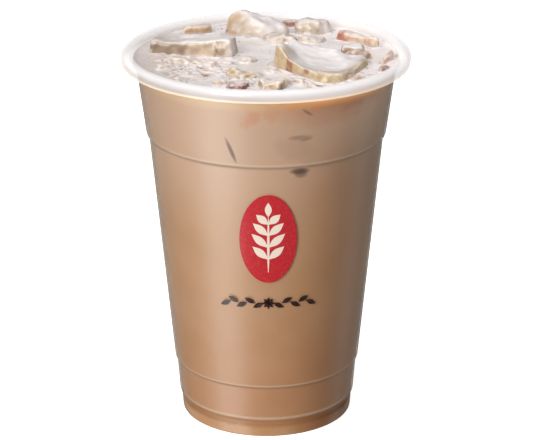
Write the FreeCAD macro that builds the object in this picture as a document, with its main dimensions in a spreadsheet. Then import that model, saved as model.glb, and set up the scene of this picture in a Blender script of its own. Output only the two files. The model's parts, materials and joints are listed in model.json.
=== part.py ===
"""Milk coffee with ice in a clear takeaway cup, built as one parametric FreeCAD document.

Lengths are in millimetres and angles in degrees. +Z is up, and the origin is the centre of the
ring that the cup stands on. The sheet holds every driving size, and the sketches, features and
placements are bound to its cells. The drink fills the same inner outline that the cup's wall is
drawn with, and it is cut round the ice, so the pieces still meet when a size changes.
"""

import FreeCAD
import Part
import Sketcher
import os

SHEET = "Sizes"
PARTS_FOLDER = "parts"

CUP_SIZES = (
    ("cup_height", 126.3, "height to the top of the rolled lip"),
    ("base_radius", 28.7, "outer radius of the foot"),
    ("base_corner", 1.2, "rounding of the outer foot edge"),
    ("foot_width", 2.6, "width of the ring that the cup stands on"),
    ("floor_lift", 1.4, "clear height under the floor, inside the ring"),
    ("floor_sheet", 0.9, "thickness of the floor"),
    ("wall_sheet", 0.7, "thickness of the wall, measured level"),
    ("foot_draft", 4.0, "slope of the wall below the low step"),
    ("low_step_height", 5.4, "where the low step starts"),
    ("low_step_rise", 1.3, "height of the low step"),
    ("low_step_out", 0.6, "how far the low step widens the wall"),
    ("low_draft", 4.5, "slope of the wall between the two lower steps"),
    ("mid_step_height", 18.2, "where the middle step starts"),
    ("mid_step_rise", 0.8, "height of the middle step"),
    ("mid_step_out", 0.6, "how far the middle step widens the wall"),
    ("body_draft", 5.5, "slope of the long wall below the shoulder"),
    ("shoulder_drop", 28.4, "from the top of the lip down to the shoulder"),
    ("shoulder_rise", 1.1, "height of the shoulder"),
    ("shoulder_out", 0.9, "how far the shoulder widens the wall"),
    ("neck_draft", 7.5, "slope of the wall above the shoulder"),
    ("neck_drop", 4.9, "from the top of the lip down to the flare"),
    ("flare_rise", 1.6, "height of the flare under the lip"),
    ("flare_out", 1.55, "how far the flare widens the wall"),
    ("lip_roll", 2.0, "outer radius of the rolled lip's section"),
    ("lip_drop", 3.9, "height of the rolled lip from its top to its hem"),
    ("hem_tuck", 0.3, "how far the lip's hem turns back in"),
    ("drink_drop", 2.8, "from the top of the lip down to the drink"),
    ("ice_gap", 0.4, "least clearance between the ice and the wall"),
    ("ice_draft", 3.0, "slope of the ice's sides"),
)

# Outlines of pieces of ice seen from above, as shares of their length and width.
SLAB = ((-0.50, -0.48), (0.47, -0.50), (0.50, 0.36), (0.12, 0.50), (-0.46, 0.42))
LUMP = ((-0.32, -0.50), (0.30, -0.38), (0.50, 0.15), (0.38, 0.47), (-0.30, 0.50), (-0.50, 0.15))
SHARD = ((-0.50, -0.10), (0.12, -0.50), (0.50, -0.30), (0.44, 0.50), (-0.10, 0.38))
SHELL = ((-0.37, -0.34), (0.37, -0.50), (0.50, -0.32), (0.31, 0.37), (0.17, 0.50), (-0.50, 0.12))

ICE_FIELDS = (
    ("length", "length seen from above"),
    ("width", "width seen from above"),
    ("rise", "height above the drink, at the middle"),
    ("sunk", "depth in the drink, at the middle"),
    ("side", "place to the right, as a share of the drink's radius"),
    ("back", "place to the back, as a share of the drink's radius"),
    ("turn", "turn about the upright axis"),
    ("tip", "how far the far end dips"),
    ("edge", "bevel of its edges"),
)

# Each piece of ice: its name, its outline, and its sizes in the order of ICE_FIELDS.
ICE = (
    ("ice_slab_left", SLAB, (30.0, 11.0, 4.2, 11.0, -0.548, 0.165, -11.0, -3.0, 0.9)),
    ("ice_sliver_back", SHARD, (13.5, 4.6, 2.4, 8.0, -0.556, 0.680, 20.0, 0.0, 0.7)),
    ("ice_hump", LUMP, (25.5, 16.0, 4.4, 12.0, -0.085, 0.713, -25.0, 10.0, 1.8)),
    ("ice_wedge_back", SHARD, (8.0, 4.0, 2.2, 7.0, 0.172, 0.885, -10.0, 0.0, 0.6)),
    ("ice_mound_back", LUMP, (14.0, 11.0, 3.6, 10.0, 0.356, 0.724, -20.0, 0.0, 1.2)),
    ("ice_slab_back", SLAB, (18.0, 4.4, 2.8, 9.0, 0.708, 0.420, -39.0, 0.0, 0.7)),
    ("ice_shard_right", SHARD, (15.0, 3.0, 2.0, 6.0, 0.905, -0.085, 71.0, 0.0, 0.5)),
    ("ice_block_right", SLAB, (9.0, 7.4, 2.6, 9.0, 0.657, 0.129, -6.0, 0.0, 0.8)),
    ("ice_shell_right", SHELL, (35.0, 31.0, 3.4, 11.0, 0.421, -0.223, -41.0, 6.5, 1.1)),
    ("ice_chip_front", LUMP, (12.5, 8.0, 1.6, 6.0, -0.168, -0.485, -8.0, 0.0, 0.8)),
    ("ice_lump_front_left", LUMP, (9.0, 7.0, 2.0, 6.0, -0.205, -0.759, 4.0, 0.0, 0.8)),
    ("ice_lump_front_right", LUMP, (10.0, 7.4, 2.6, 6.0, 0.044, -0.766, -5.0, 0.0, 0.9)),
)


def size(alias):
    """The expression that reads one cell of the sheet."""
    return f"{SHEET}.{alias}"


def sloped(radius, low, high, draft):
    """The radius at one height of a sloping wall, from its radius at a lower height."""
    return f"({radius} + (({high}) - ({low})) * tan({size(draft)}))"


def new_sheet(doc):
    """Writes the driving sizes of the cup and of each piece of ice, one aliased cell to a row."""
    rows = list(CUP_SIZES)
    for name, _, values in ICE:
        for (field, meaning), value in zip(ICE_FIELDS, values):
            rows.append((f"{name}_{field}", value, f"{name}: {meaning}"))
    sheet = doc.addObject("Spreadsheet::Sheet", SHEET)
    for row, (alias, value, meaning) in enumerate(rows, start=1):
        sheet.set(f"A{row}", meaning)
        sheet.set(f"B{row}", str(value))
        sheet.setAlias(f"B{row}", alias)
    doc.recompute()
    return sheet


def number(sheet, expression):
    """The present value of an expression, as a plain number."""
    found = sheet.evalExpression(expression)
    return float(getattr(found, "Value", found))


def origin_plane(body, role):
    """One of a body's own origin planes."""
    return next(item for item in body.Origin.OriginFeatures if item.Role == role)


def new_sketch(body, name, role):
    """An empty sketch on one of its body's own origin planes."""
    sketch = body.newObject("Sketcher::SketchObject", name)
    sketch.AttachmentSupport = [(origin_plane(body, role), "")]
    sketch.MapMode = "FlatFace"
    return sketch


def bind_point(sketch, geometry, place, x, y):
    """Binds a point of a sketch to expressions. An x of None leaves it to the curve."""
    if x is not None:
        at_x = sketch.addConstraint(Sketcher.Constraint("DistanceX", -1, 1, geometry, place, 1.0))
        sketch.setExpression(f"Constraints[{at_x}]", x)
    at_y = sketch.addConstraint(Sketcher.Constraint("DistanceY", -1, 1, geometry, place, 1.0))
    sketch.setExpression(f"Constraints[{at_y}]", y)


def draw_outline(sheet, sketch, corners):
    """Draws a closed outline, with each corner bound to the sheet.

    A corner is (x, y) where a line leads to the next one, and (x, y, centre x, turns left) where
    a half circle about a centre at the same height leads to the next one.
    """
    points = [FreeCAD.Vector(number(sheet, c[0]), number(sheet, c[1]), 0) for c in corners]
    following = points[1:] + points[:1]
    starts = []
    ends = []
    for corner, start, end in zip(corners, points, following):
        if len(corner) == 2:
            sketch.addGeometry(Part.LineSegment(start, end), False)
            starts.append(1)
            ends.append(2)
        else:
            centre = (start + end) * 0.5
            circle = Part.Circle(centre, FreeCAD.Vector(0, 0, 1), start.distanceToPoint(centre))
            sketch.addGeometry(Part.ArcOfCircle(circle, 0.0, 3.141592653589793), False)
            # A half circle is stored from its right end, over the top, to its left end.
            starts.append(1 if corner[3] else 2)
            ends.append(2 if corner[3] else 1)
    count = len(corners)
    for index in range(count):
        after = (index + 1) % count
        joined = Sketcher.Constraint("Coincident", index, ends[index], after, starts[after])
        sketch.addConstraint(joined)
    for index, corner in enumerate(corners):
        after_arc = len(corners[index - 1]) == 4
        bind_point(sketch, index, starts[index], None if after_arc else corner[0], corner[1])
        if len(corner) == 4:
            at_x = sketch.addConstraint(Sketcher.Constraint("DistanceX", -1, 1, index, 3, 1.0))
            sketch.setExpression(f"Constraints[{at_x}]", corner[2])
            level = sketch.addConstraint(Sketcher.Constraint("DistanceY", -1, 1, index, 3, 1.0))
            sketch.setExpression(f"Constraints[{level}]", corner[1])


def wall_bends():
    """(radius, height) of each outer bend of the wall, from the foot up, as expressions."""
    radius = size("base_radius")
    height = "0"
    bends = [(radius, height)]
    shoulder_height = f"({size('cup_height')} - {size('shoulder_drop')})"
    steps = (
        ("low_step", size("low_step_height"), "foot_draft"),
        ("mid_step", size("mid_step_height"), "low_draft"),
        ("shoulder", shoulder_height, "body_draft"),
    )
    for step, step_height, draft in steps:
        radius = sloped(radius, height, step_height, draft)
        bends.append((radius, step_height))
        radius = f"({radius} + {size(step + '_out')})"
        height = f"({step_height} + {size(step + '_rise')})"
        bends.append((radius, height))
    neck_height = f"({size('cup_height')} - {size('neck_drop')})"
    radius = sloped(radius, height, neck_height, "neck_draft")
    bends.append((radius, neck_height))
    radius = f"({radius} + {size('flare_out')})"
    bends.append((radius, f"({neck_height} + {size('flare_rise')})"))
    return bends


def inner_bends(gap="0"):
    """(radius, height) of each bend of the wall's inner side above the floor, less a gap."""
    bends = wall_bends()
    floor_height = f"({size('floor_lift')} + {size('floor_sheet')})"
    floor_radius = sloped(bends[0][0], bends[0][1], floor_height, "foot_draft")
    outer = [(floor_radius, floor_height)] + bends[1:]
    return [(f"({radius} - {size('wall_sheet')} - {gap})", height) for radius, height in outer]


def lip_centre_height():
    """The height of the centre of the rolled lip's section."""
    return f"({size('cup_height')} - {size('lip_roll')})"


def revolve(body, sketch, name):
    """Turns a sketch once round the upright axis."""
    turned = body.newObject("PartDesign::Revolution", name)
    turned.Profile = sketch
    turned.ReferenceAxis = (sketch, ["V_Axis"])
    turned.Angle = 360
    return turned


def edges_at(sheet, shape, radius, height):
    """Names of the round edges of a shape that have the given radius and height."""
    wanted = (number(sheet, radius), number(sheet, height))
    names = []
    for index, edge in enumerate(shape.Edges, start=1):
        if isinstance(edge.Curve, Part.Circle):
            here = (edge.Curve.Radius, edge.Curve.Center.z)
            if abs(here[0] - wanted[0]) < 1e-4 and abs(here[1] - wanted[1]) < 1e-4:
                names.append(f"Edge{index}")
    return names


def build_cup(doc, sheet):
    """The cup: a thin stepped wall with a lifted floor, a flare and a rolled lip."""
    body = doc.addObject("PartDesign::Body", "Cup")
    sketch = new_sketch(body, "CupSection", "XZ_Plane")
    bends = wall_bends()
    inner = inner_bends()
    ring_radius = f"({size('base_radius')} - {size('foot_width')})"
    floor_height = size("floor_lift")
    roll_height = lip_centre_height()
    inner_lip = inner[-1][0]
    roll_centre = f"({inner_lip} + {size('lip_roll')})"
    rim_radius = f"({inner_lip} + 2 * {size('lip_roll')})"
    hem_radius = f"({rim_radius} - {size('hem_tuck')})"
    hem_height = f"({size('cup_height')} - {size('lip_drop')})"
    sheet_in = size("wall_sheet")
    corners = [("0", floor_height), (ring_radius, floor_height), (ring_radius, "0")]
    corners += bends
    corners += [
        (bends[-1][0], roll_height, roll_centre, False),
        (f"({rim_radius} - {sheet_in})", roll_height),
        (f"({hem_radius} - {sheet_in})", hem_height),
        (hem_radius, hem_height),
        (rim_radius, roll_height, roll_centre, True),
        (inner_lip, roll_height),
    ]
    corners += reversed(inner)
    corners.append(("0", inner[0][1]))
    draw_outline(sheet, sketch, corners)
    turned = revolve(body, sketch, "CupTurned")
    doc.recompute()
    rounded = body.newObject("PartDesign::Fillet", "FootRounded")
    rounded.Base = (turned, edges_at(sheet, turned.Shape, size("base_radius"), "0"))
    rounded.setExpression("Radius", size("base_corner"))
    body.Label = "cup"
    return body


def build_room(doc, sheet):
    """All that the cup can hold, up to the middle of its lip."""
    body = doc.addObject("PartDesign::Body", "Room")
    sketch = new_sketch(body, "RoomSection", "XZ_Plane")
    inner = inner_bends()
    top = lip_centre_height()
    corners = [("0", inner[0][1])] + inner + [(inner[-1][0], top), ("0", top)]
    draw_outline(sheet, sketch, corners)
    revolve(body, sketch, "RoomTurned")
    return body


def build_ice_room(doc, sheet):
    """Where ice can be: inside the wall above the shoulder, clear of it, and free above it."""
    body = doc.addObject("PartDesign::Body", "IceRoom")
    sketch = new_sketch(body, "IceRoomSection", "XZ_Plane")
    upper = inner_bends(size("ice_gap"))[-3:]
    above = f"({size('cup_height')} + {size('shoulder_drop')})"
    corners = [("0", upper[0][1])] + upper + [(upper[-1][0], above), ("0", above)]
    draw_outline(sheet, sketch, corners)
    revolve(body, sketch, "IceRoomTurned")
    return body


def build_fill(doc):
    """A cylinder from the ground up to the drink's surface, wider than the cup."""
    fill = doc.addObject("Part::Cylinder", "Fill")
    fill.setExpression("Height", f"{size('cup_height')} - {size('drink_drop')}")
    fill.setExpression("Radius", f"{inner_bends()[-1][0]} + 2 * {size('lip_roll')}")
    return fill


def build_ice_blank(doc, sheet, name, outline):
    """One piece of ice as a drafted block with bevelled edges, tipped and turned in place."""
    body = doc.addObject("PartDesign::Body", f"{name}_blank")
    sketch = new_sketch(body, f"{name}_outline", "XY_Plane")
    length = size(f"{name}_length")
    width = size(f"{name}_width")
    corners = [(f"{x} * {length}", f"{y} * {width}") for x, y in outline]
    draw_outline(sheet, sketch, corners)
    sketch.setExpression("AttachmentOffset.Base.z", f"-{size(name + '_sunk')}")
    pad = body.newObject("PartDesign::Pad", f"{name}_pad")
    pad.Profile = sketch
    pad.setExpression("Length", f"{size(name + '_sunk')} + {size(name + '_rise')}")
    pad.setExpression("TaperAngle", f"-{size('ice_draft')}")
    doc.recompute()
    bevel = body.newObject("PartDesign::Chamfer", f"{name}_bevel")
    bevel.Base = (pad, [f"Edge{index}" for index in range(1, len(pad.Shape.Edges) + 1)])
    bevel.setExpression("Size", size(f"{name}_edge"))
    surface_radius = inner_bends()[-1][0]
    place = "; ".join(
        (
            f"{size(name + '_side')} * {surface_radius}",
            f"{size(name + '_back')} * {surface_radius}",
            f"{size('cup_height')} - {size('drink_drop')}",
        )
    )
    angles = f"{size(name + '_turn')}; {size(name + '_tip')}; 0"
    body.setExpression("Placement", f"placement(vector({place}); rotation({angles}))")
    return body


def build_ice(doc, sheet, ice_room):
    """Every piece of ice, kept inside the wall and clear of the pieces made before it."""
    pieces = []
    for name, outline, _ in ICE:
        blank = build_ice_blank(doc, sheet, name, outline)
        piece = doc.addObject("Part::Common", f"{name}_kept")
        piece.Base = blank
        piece.Tool = ice_room
        if pieces:
            others = doc.addObject("Part::Compound", f"{name}_others")
            others.Links = list(pieces)
            apart = doc.addObject("Part::Cut", f"{name}_apart")
            apart.Base = piece
            apart.Tool = others
            piece = apart
        piece.Label = name
        pieces.append(piece)
    return pieces


def build_drink(doc, room, fill, ice):
    """The drink: what the cup holds up to the surface, cut round every piece of ice."""
    level = doc.addObject("Part::Common", "FullDrink")
    level.Base = room
    level.Tool = fill
    all_ice = doc.addObject("Part::Compound", "AllIce")
    all_ice.Links = list(ice)
    drink = doc.addObject("Part::Cut", "Drink")
    drink.Base = level
    drink.Tool = all_ice
    drink.Label = "milk_coffee"
    return drink


def check_and_export(doc, nodes):
    """Stops at any failed object, and otherwise writes each sub-part to its own file."""
    doc.recompute()
    for item in doc.Objects:
        if "Invalid" in item.State or "Error" in item.State:
            raise RuntimeError(f"{item.Label} failed: {item.State}")
    for node in nodes:
        shape = node.Shape
        if shape.isNull() or not shape.isValid() or len(shape.Solids) != 1:
            raise RuntimeError(f"{node.Label} isn't one valid solid")
    os.makedirs(PARTS_FOLDER, exist_ok=True)
    for node in nodes:
        node.Shape.exportStep(os.path.join(PARTS_FOLDER, f"{node.Label}.step"))
        print(f"{node.Label}: {node.Shape.Volume / 1000:.2f} cm3")


def main():
    """Builds the sheet, the cup, the ice and the drink, and writes them out."""
    doc = FreeCAD.newDocument("MilkCoffee")
    sheet = new_sheet(doc)
    cup = build_cup(doc, sheet)
    room = build_room(doc, sheet)
    ice_room = build_ice_room(doc, sheet)
    fill = build_fill(doc)
    ice = build_ice(doc, sheet, ice_room)
    drink = build_drink(doc, room, fill, ice)
    check_and_export(doc, [cup, drink, *ice])


main()
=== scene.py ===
"""The looks of a milk coffee with ice in a clear takeaway cup.

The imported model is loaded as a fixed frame, in metres, with +Z up and its origin at the centre of
the ring that the cup stands on. Each sub-assembly is a class that holds its sizes in millimetres,
models its meshes round the frame's nodes and dresses them with its finishes.
"""

from __future__ import annotations

import enum
import json
import logging
import math
import random
from collections.abc import Callable, Iterable, Sequence
from dataclasses import dataclass, field

import bpy
import numpy as np
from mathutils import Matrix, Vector, noise

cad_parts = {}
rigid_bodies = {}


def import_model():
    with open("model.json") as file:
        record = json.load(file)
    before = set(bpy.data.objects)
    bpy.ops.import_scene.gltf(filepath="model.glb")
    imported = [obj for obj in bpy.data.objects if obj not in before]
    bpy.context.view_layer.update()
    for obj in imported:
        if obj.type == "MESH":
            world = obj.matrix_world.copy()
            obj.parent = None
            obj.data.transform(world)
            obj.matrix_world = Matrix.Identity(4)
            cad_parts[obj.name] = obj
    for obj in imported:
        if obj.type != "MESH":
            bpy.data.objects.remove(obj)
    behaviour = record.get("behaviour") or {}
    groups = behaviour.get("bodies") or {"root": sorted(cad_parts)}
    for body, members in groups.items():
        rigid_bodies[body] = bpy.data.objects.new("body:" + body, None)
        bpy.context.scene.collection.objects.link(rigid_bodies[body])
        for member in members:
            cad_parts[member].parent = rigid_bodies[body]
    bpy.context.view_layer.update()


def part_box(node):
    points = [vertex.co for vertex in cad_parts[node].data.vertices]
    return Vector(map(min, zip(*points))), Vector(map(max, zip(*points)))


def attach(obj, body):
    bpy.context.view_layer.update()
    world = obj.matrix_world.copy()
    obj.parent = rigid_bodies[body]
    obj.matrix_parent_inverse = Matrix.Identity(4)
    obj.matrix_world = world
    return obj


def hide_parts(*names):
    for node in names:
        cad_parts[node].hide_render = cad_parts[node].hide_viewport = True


LOG = logging.getLogger("milk_coffee")
MM = 0.001
BODY = "root"

Colour = tuple[float, float, float, float]
Plan = tuple[float, float]
Socket = bpy.types.NodeSocket
Piece = bpy.types.Object


class Slot(enum.Enum):
    """The record's material slots."""

    PLASTIC = "clear_plastic"
    DRINK = "milk_coffee"
    ICE = "ice"


def linear(code: str) -> Colour:
    """Turns a screen colour such as "#c08040" into the linear colour that a shader reads.

    Args:
        code: six hexadecimal digits after a hash.

    Returns:
        Red, green, blue and an alpha of one.
    """
    parts = [int(code[i : i + 2], 16) / 255 for i in (1, 3, 5)]
    flat = [c / 12.92 if c <= 0.04045 else ((c + 0.055) / 1.055) ** 2.4 for c in parts]
    return (flat[0], flat[1], flat[2], 1.0)


def smooth_step(value: np.ndarray, low: float, high: float) -> np.ndarray:
    """Rises smoothly from 0 at low to 1 at high.

    Args:
        value: the values to map.
        low: where the rise starts.
        high: where the rise ends.

    Returns:
        The mapped values.
    """
    share = np.clip((value - low) / (high - low), 0.0, 1.0)
    return share * share * (3.0 - 2.0 * share)


def noise_field(points: np.ndarray, pitch: float, seed: float) -> np.ndarray:
    """Smooth noise at each point, between about -1 and 1.

    Args:
        points: places in millimetres, one row each.
        pitch: the size of one lump in millimetres.
        seed: shifts the pattern.

    Returns:
        One value for each point.
    """
    shift = Vector((seed * 17.3, seed * 5.1, seed * 9.7))
    return np.array([noise.noise(Vector(p) / pitch + shift) for p in points])


def wander(points: np.ndarray, *shifts: tuple[float, float, float]) -> np.ndarray:
    """Shifts points sideways by noise, so that round outlines turn ragged.

    Args:
        points: places in millimetres, one row each.
        shifts: for X and then Y, how far in millimetres, the noise's pitch and its seed.

    Returns:
        The shifted places.
    """
    moved = points.copy()
    for axis, (far, pitch, seed) in enumerate(shifts):
        moved[:, axis] += far * noise_field(points, pitch, seed)
    return moved


def turned(along: np.ndarray, over: np.ndarray, angle: float) -> tuple[np.ndarray, np.ndarray]:
    """Turns flat places about the origin.

    Args:
        along: the first coordinate of each place.
        over: the second one.
        angle: the turn in degrees.

    Returns:
        Both coordinates after the turn.
    """
    cos, sin = math.cos(math.radians(angle)), math.sin(math.radians(angle))
    return along * cos - over * sin, along * sin + over * cos


# ---------------------------------------------------------------- modelling helpers


def clear_selection() -> None:
    """Leaves object mode with nothing selected."""
    if bpy.context.object and bpy.context.object.mode != "OBJECT":
        bpy.ops.object.mode_set(mode="OBJECT")
    bpy.ops.object.select_all(action="DESELECT")


def activate(piece: Piece) -> None:
    """Makes a piece the only selected and active one."""
    clear_selection()
    piece.select_set(True)
    bpy.context.view_layer.objects.active = piece


def points_of(piece: Piece) -> np.ndarray:
    """Every vertex of a piece in millimetres, one row each."""
    flat = np.empty(len(piece.data.vertices) * 3)
    piece.data.vertices.foreach_get("co", flat)
    return flat.reshape(-1, 3) / MM


def move_points(piece: Piece, points: np.ndarray) -> None:
    """Puts a piece's vertices at these places, given in millimetres."""
    piece.data.vertices.foreach_set("co", (points * MM).ravel())
    piece.data.update()


def normals_of(piece: Piece) -> np.ndarray:
    """The normal at every vertex of a piece, one row each."""
    flat = np.empty(len(piece.data.vertices) * 3)
    piece.data.vertices.foreach_get("normal", flat)
    return flat.reshape(-1, 3)


def standing_out(piece: Piece) -> np.ndarray:
    """How far each point stands out from the middle of its neighbours, in millimetres."""
    ends = np.empty(2 * len(piece.data.edges), dtype=np.int32)
    piece.data.edges.foreach_get("vertices", ends)
    points = points_of(piece)
    total, count = np.zeros_like(points), np.zeros(len(points))
    for here, there in ((ends[::2], ends[1::2]), (ends[1::2], ends[::2])):
        np.add.at(total, here, points[there])
        np.add.at(count, here, 1)
    middle = total / np.maximum(count, 1)[:, None]
    return ((points - middle) * normals_of(piece)).sum(axis=1)


def write_value(piece: Piece, name: str, values: np.ndarray) -> None:
    """Stores one number for each vertex as a named attribute that a finish can read."""
    attribute = piece.data.attributes.new(name, "FLOAT", "POINT")
    attribute.data.foreach_set("value", np.clip(values, 0.0, 1.0).astype(np.float32))


def apply_modifier(piece: Piece, kind: str, **settings: object) -> None:
    """Adds a modifier with these settings and applies it at once.

    Args:
        piece: the piece to change.
        kind: the modifier's type, such as "REMESH".
        settings: its properties.
    """
    activate(piece)
    modifier = piece.modifiers.new(kind.title(), kind)
    for name, value in settings.items():
        setattr(modifier, name, value)
    bpy.ops.object.modifier_apply(modifier=modifier.name)


def edit(piece: Piece, *steps: Callable[[], object]) -> None:
    """Runs operators in edit mode with the whole piece selected.

    Args:
        piece: the piece to edit.
        steps: calls to run one after another.
    """
    activate(piece)
    bpy.ops.object.mode_set(mode="EDIT")
    bpy.ops.mesh.select_all(action="SELECT")
    for step in steps:
        step()
    bpy.ops.object.mode_set(mode="OBJECT")


def merge_and_face_out() -> None:
    """Merges doubled vertices of the edited piece and turns its faces outwards."""
    bpy.ops.mesh.remove_doubles(threshold=0.00001)
    bpy.ops.mesh.normals_make_consistent(inside=False)


def new_piece(
    name: str, points: Sequence | np.ndarray, edges: Sequence[tuple], faces: Sequence[tuple]
) -> Piece:
    """Makes a piece from its vertices and its edges or faces.

    Args:
        name: the piece's name.
        points: its vertices in millimetres.
        edges: pairs of vertices, where there are no faces.
        faces: the corners of each face.

    Returns:
        The new object.
    """
    mesh = bpy.data.meshes.new(name)
    mesh.from_pydata((np.array(points, dtype=float) * MM).tolist(), edges, faces)
    piece = bpy.data.objects.new(name, mesh)
    bpy.context.collection.objects.link(piece)
    return piece


def new_line(name: str, points: Sequence[Plan], closed: bool) -> Piece:
    """Draws a line in the XZ plane, ready to be spun.

    Args:
        name: the piece's name.
        points: (radius, height) in millimetres.
        closed: whether the last point joins the first.

    Returns:
        The new object, which holds only edges.
    """
    edges = [(i, i + 1) for i in range(len(points) - 1)]
    if closed:
        edges.append((len(points) - 1, 0))
    return new_piece(name, [(radius, 0.0, height) for radius, height in points], edges, [])


def join_pieces(name: str, pieces: Sequence[Piece]) -> Piece:
    """Joins pieces into one.

    Args:
        name: the joined piece's name.
        pieces: the pieces, of which the first takes in the rest.

    Returns:
        The joined piece.
    """
    clear_selection()
    for piece in pieces:
        piece.select_set(True)
    bpy.context.view_layer.objects.active = pieces[0]
    bpy.ops.object.join()
    pieces[0].name = name
    return pieces[0]


def spin_line(piece: Piece, steps: int) -> None:
    """Spins a line once round the upright axis into a closed skin."""
    edit(
        piece,
        lambda: bpy.ops.mesh.spin(
            steps=steps, angle=2 * math.pi, center=(0, 0, 0), axis=(0, 0, 1)
        ),
        lambda: bpy.ops.mesh.select_all(action="SELECT"),
        merge_and_face_out,
    )


def round_corners(points: Sequence[Plan], radius: float, closed: bool, steps: int = 3) -> list[Plan]:
    """Rounds the corners of a line.

    Args:
        points: the line's corners.
        radius: how far from each corner the rounding starts, at most.
        closed: whether the last point joins the first.
        steps: how many points each rounding adds.

    Returns:
        The rounded line.
    """
    found: list[Plan] = []
    count = len(points)
    for index, corner in enumerate(points):
        if not closed and index in (0, count - 1):
            found.append(corner)
            continue
        here = np.array(corner)
        before = np.array(points[index - 1])
        after = np.array(points[(index + 1) % count])
        reach = min(radius, np.linalg.norm(before - here) / 2.2, np.linalg.norm(after - here) / 2.2)
        start = here + (before - here) / np.linalg.norm(before - here) * reach
        end = here + (after - here) / np.linalg.norm(after - here) * reach
        for step in range(steps + 1):
            share = step / steps
            curve = (1 - share) ** 2 * start + 2 * share * (1 - share) * here + share**2 * end
            found.append((float(curve[0]), float(curve[1])))
    return found


def shade_smooth(piece: Piece, angle: float = 50.0) -> None:
    """Shades a piece smoothly except across edges sharper than an angle in degrees."""
    activate(piece)
    bpy.ops.object.shade_smooth_by_angle(angle=math.radians(angle))


def hand_over(piece: Piece, slot: Slot, finish: bpy.types.Material, *nodes: str) -> None:
    """Dresses a finished piece, attaches it to the frame's body and hides the nodes that it stands for.

    Args:
        piece: the finished piece.
        slot: the record's slot; not used.
        finish: its material.
        nodes: the model's nodes that it stands for.
    """
    piece.data.materials.clear()
    piece.data.materials.append(finish)
    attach(piece, BODY)
    if nodes:
        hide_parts(*nodes)
    LOG.info("%s: %d vertices", piece.name, len(piece.data.vertices))


# ---------------------------------------------------------------- finishes


class Board:
    """A short way to add and link the shader nodes of one material."""

    def __init__(self, name: str) -> None:
        """Starts a material with only its main shader.

        Args:
            name: the material's name.
        """
        self.material = bpy.data.materials.new(name)
        self.material.use_nodes = True
        self.nodes = self.material.node_tree.nodes
        self.links = self.material.node_tree.links
        self.shader = self.nodes["Principled BSDF"]

    def give(self, socket: Socket, value: object) -> None:
        """Links a socket to another one, or sets its value.

        Args:
            socket: the socket to feed.
            value: a socket, a number, a vector, or a screen colour such as "#c08040".
        """
        if isinstance(value, bpy.types.NodeSocket):
            self.links.new(value, socket)
        elif isinstance(value, str):
            socket.default_value = linear(value)
        elif socket.type == "RGBA" and isinstance(value, float):
            socket.default_value = (value, value, value, 1.0)
        else:
            socket.default_value = value

    def set(self, **values: object) -> None:
        """Sets or links the main shader's sockets, named with underscores for spaces."""
        for name, value in values.items():
            self.give(self.shader.inputs[name.replace("_", " ")], value)

    def place(self) -> Socket:
        """The place on the piece, in metres."""
        return self.nodes.new("ShaderNodeTexCoord").outputs["Object"]

    def axes(self) -> tuple[Socket, ...]:
        """The place on the piece as separate X, Y and Z."""
        node = self.nodes.new("ShaderNodeSeparateXYZ")
        self.links.new(self.place(), node.inputs[0])
        return tuple(node.outputs)

    def attribute(self, name: str) -> Socket:
        """A number stored on the piece's vertices."""
        node = self.nodes.new("ShaderNodeAttribute")
        node.attribute_name = name
        return node.outputs["Fac"]

    def math(self, operation: str, a: object, b: object = 0.0) -> Socket:
        """One operation on two numbers."""
        node = self.nodes.new("ShaderNodeMath")
        node.operation = operation
        self.give(node.inputs[0], a)
        self.give(node.inputs[1], b)
        return node.outputs[0]

    def times(self, a: object, b: object) -> Socket:
        """The product of two numbers."""
        return self.math("MULTIPLY", a, b)

    def plus(self, a: object, b: object) -> Socket:
        """The sum of two numbers."""
        return self.math("ADD", a, b)

    def minus(self, a: object, b: object) -> Socket:
        """The first number less the second."""
        return self.math("SUBTRACT", a, b)

    def step(self, value: object, low: float, high: float) -> Socket:
        """Rises smoothly from 0 where the value is low to 1 where it is high."""
        node = self.nodes.new("ShaderNodeMapRange")
        node.interpolation_type = "SMOOTHSTEP"
        self.give(node.inputs["Value"], value)
        node.inputs["From Min"].default_value = low
        node.inputs["From Max"].default_value = high
        return node.outputs["Result"]

    def rise(self, place: object, low: float, high: float) -> Socket:
        """Rises smoothly from 0 to 1 between two places given in millimetres."""
        return self.step(place, low * MM, high * MM)

    def facing(self, low: float, high: float) -> Socket:
        """Rises from 0 where the surface faces the viewer to 1 where it turns away."""
        node = self.nodes.new("ShaderNodeLayerWeight")
        node.inputs["Blend"].default_value = 0.5
        return self.step(node.outputs["Facing"], low, high)

    def mix(self, share: object, a: object, b: object) -> Socket:
        """Blends from colour or number a to b."""
        node = self.nodes.new("ShaderNodeMix")
        node.data_type = "RGBA"
        self.give(node.inputs["Factor"], share)
        self.give(node.inputs[6], a)
        self.give(node.inputs[7], b)
        return node.outputs[2]

    def lumps(
        self, pitch: float, detail: float = 2.0, low: float = 0.35, high: float = 0.65
    ) -> Socket:
        """Soft patches of a given size in millimetres, from 0 to 1."""
        node = self.nodes.new("ShaderNodeTexNoise")
        self.links.new(self.place(), node.inputs["Vector"])
        node.inputs["Scale"].default_value = 1.0 / (pitch * MM)
        node.inputs["Detail"].default_value = detail
        return self.step(node.outputs["Fac"], low, high)

    def bump(self, height: Socket, depth: float) -> None:
        """Roughens the surface by a height that runs from 0 to 1 over a depth in millimetres."""
        node = self.nodes.new("ShaderNodeBump")
        node.inputs["Distance"].default_value = depth * MM
        self.links.new(height, node.inputs["Height"])
        self.links.new(node.outputs["Normal"], self.shader.inputs["Normal"])


@dataclass(frozen=True)
class Smudge:
    """A soft mark in the drink seen through the wall: its middle, size and slant."""

    across: float
    height: float
    long: float
    wide: float
    slant: float
    colour: str
    strength: float


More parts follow.
